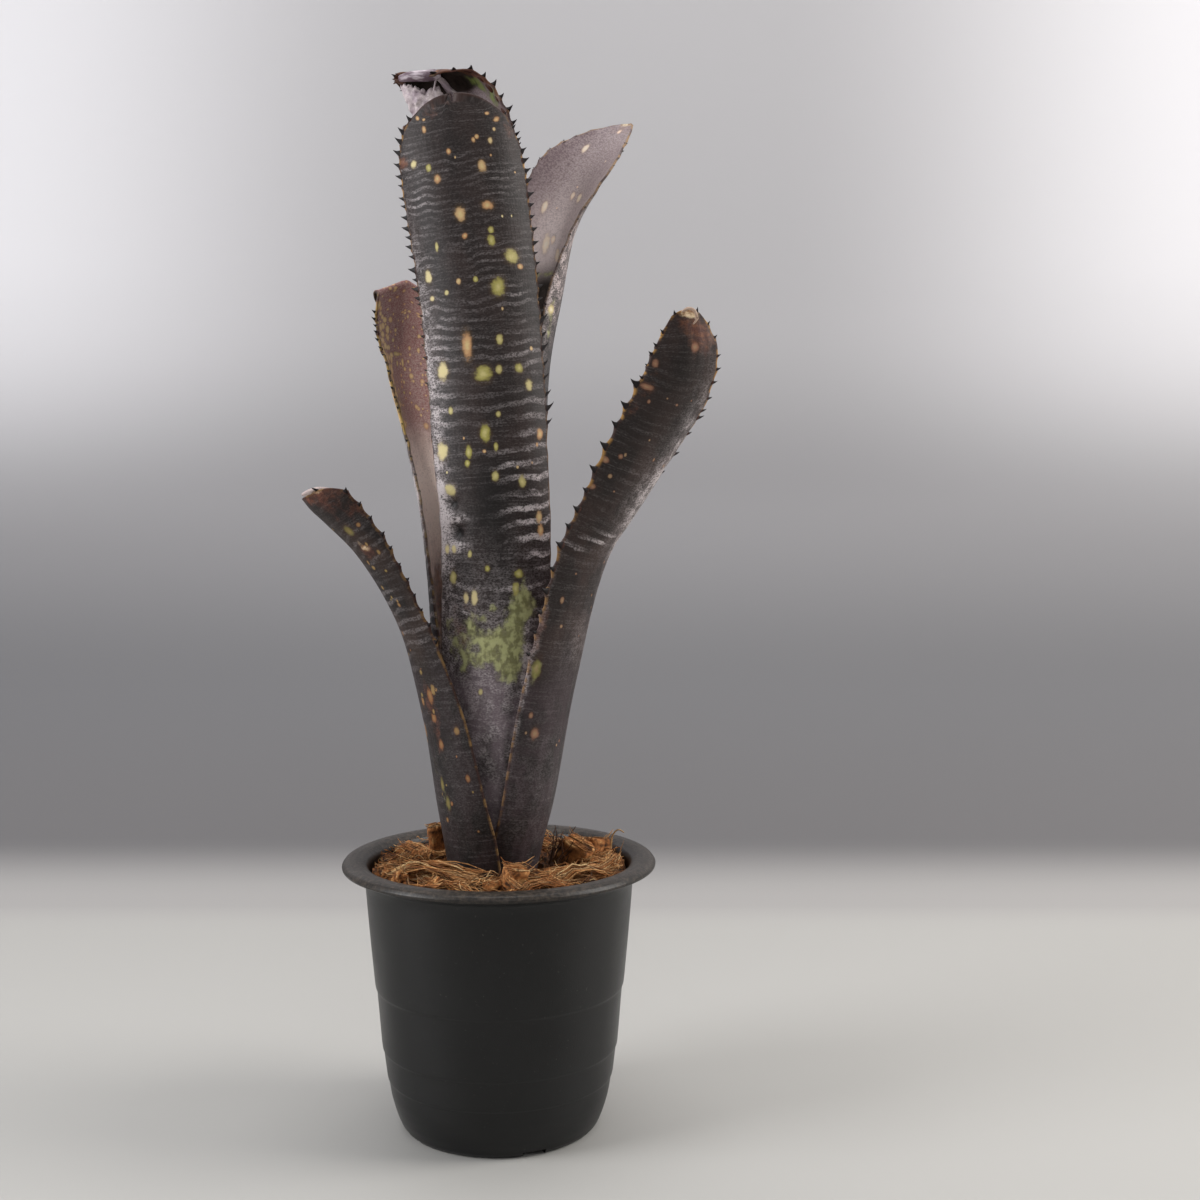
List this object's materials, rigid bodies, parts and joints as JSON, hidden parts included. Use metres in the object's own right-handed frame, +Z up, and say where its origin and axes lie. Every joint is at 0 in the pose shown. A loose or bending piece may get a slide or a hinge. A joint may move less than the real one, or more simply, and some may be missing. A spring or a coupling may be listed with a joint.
{
  "type": "potted bromeliad",
  "caption": "Tubular bromeliad with stiff, spiny, banded strap leaves, standing in a round nursery pot filled with coconut husk.",
  "frame": {"origin": "centre of the pot's flat underside, level with its foot ring", "axes": "+Z up along the pot's axis; -Y towards the front that the picture shows; +X to the right in it"},
  "size_m": [0.1404, 0.1118, 0.3726],
  "materials": {
    "pot_plastic": "black moulded plastic, fine matt grain",
    "husk": "dry coconut husk chips and fibres",
    "stem_tissue": "dull, fibrous",
    "leaf_dark": "dark brown leaf with silvery scaly bands and pale oval spots, half glossy",
    "leaf_mauve": "greyish mauve leaf with a silky sheen and pale spots",
    "leaf_red": "reddish brown leaf, finely speckled with yellow"
  },
  "bodies": {
    "root": {"pot": "pot_plastic", "husk_substrate": "husk", "stem": "stem_tissue", "leaf_back": "leaf_mauve", "leaf_back_right": "leaf_mauve", "leaf_front": "leaf_dark", "leaf_back_left": "leaf_red", "leaf_low_right": "leaf_dark", "leaf_low_left": "leaf_dark"}
  },
  "joints": []
}
